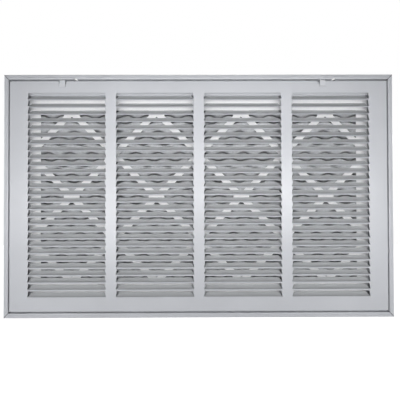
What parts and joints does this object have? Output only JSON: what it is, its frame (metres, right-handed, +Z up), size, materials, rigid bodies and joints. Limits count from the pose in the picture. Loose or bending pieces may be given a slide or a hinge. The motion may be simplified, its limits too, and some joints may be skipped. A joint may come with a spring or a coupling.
{
  "type": "return air filter grille",
  "caption": "Louvred return air grille whose door is hinged along its bottom edge in a wall frame that holds a pleated filter, with two sliding latches at the top.",
  "frame": {"origin": "middle of the grille on the wall plane, which is the back of the screw flange", "axes": "+X across the grille to the right as seen from the room, +Y into the duct, +Z up"},
  "size_m": [0.6762, 0.0416, 0.4224],
  "materials": {
    "frame_paint": "satin white baked paint",
    "door_paint": "satin white baked paint",
    "latch_paint": "satin white baked paint",
    "plated_steel": "dull zinc plate",
    "bright_steel": "drawn wire",
    "white_card": "uncoated white board",
    "filter_fleece": "pleated fleece"
  },
  "bodies": {
    "frame": {"frame_rail_top": "frame_paint", "frame_rail_bottom": "frame_paint", "frame_rail_left": "frame_paint", "frame_rail_right": "frame_paint", "corner_key_top_left": "frame_paint", "corner_key_top_right": "frame_paint", "corner_key_bottom_left": "frame_paint", "corner_key_bottom_right": "frame_paint", "filter_channel_top": "frame_paint", "filter_channel_bottom": "frame_paint", "filter_channel_left": "frame_paint", "filter_channel_right": "frame_paint", "latch_keeper_left": "plated_steel", "latch_keeper_right": "plated_steel", "hinge_bracket_left": "plated_steel", "hinge_bracket_right": "plated_steel", "hinge_pin_left": "bright_steel", "hinge_pin_right": "bright_steel", "filter_card_front": "white_card", "filter_card_rear": "white_card", "filter_media": "filter_fleece"},
    "door": {"door_panel": "door_paint", "hinge_leaf_left": "plated_steel", "hinge_leaf_right": "plated_steel", "latch_guide_left_a": "plated_steel", "latch_guide_left_b": "plated_steel", "latch_guide_right_a": "plated_steel", "latch_guide_right_b": "plated_steel"},
    "latch_left": {"latch_slider_left": "latch_paint"},
    "latch_right": {"latch_slider_right": "latch_paint"}
  },
  "joints": [
    {"name": "door_hinge", "type": "hinge", "parent": "frame", "child": "door", "pos_m": [0, -0.0066, -0.19595], "axis": [1, 0, 0], "range_deg": [0, 90]},
    {"name": "left_latch_slide", "type": "slide", "parent": "door", "child": "latch_left", "axis": [1, 0, 0], "range_m": [-0.00185, 0.00185]},
    {"name": "right_latch_slide", "type": "slide", "parent": "door", "child": "latch_right", "axis": [1, 0, 0], "range_m": [-0.0037, 0]}
  ]
}
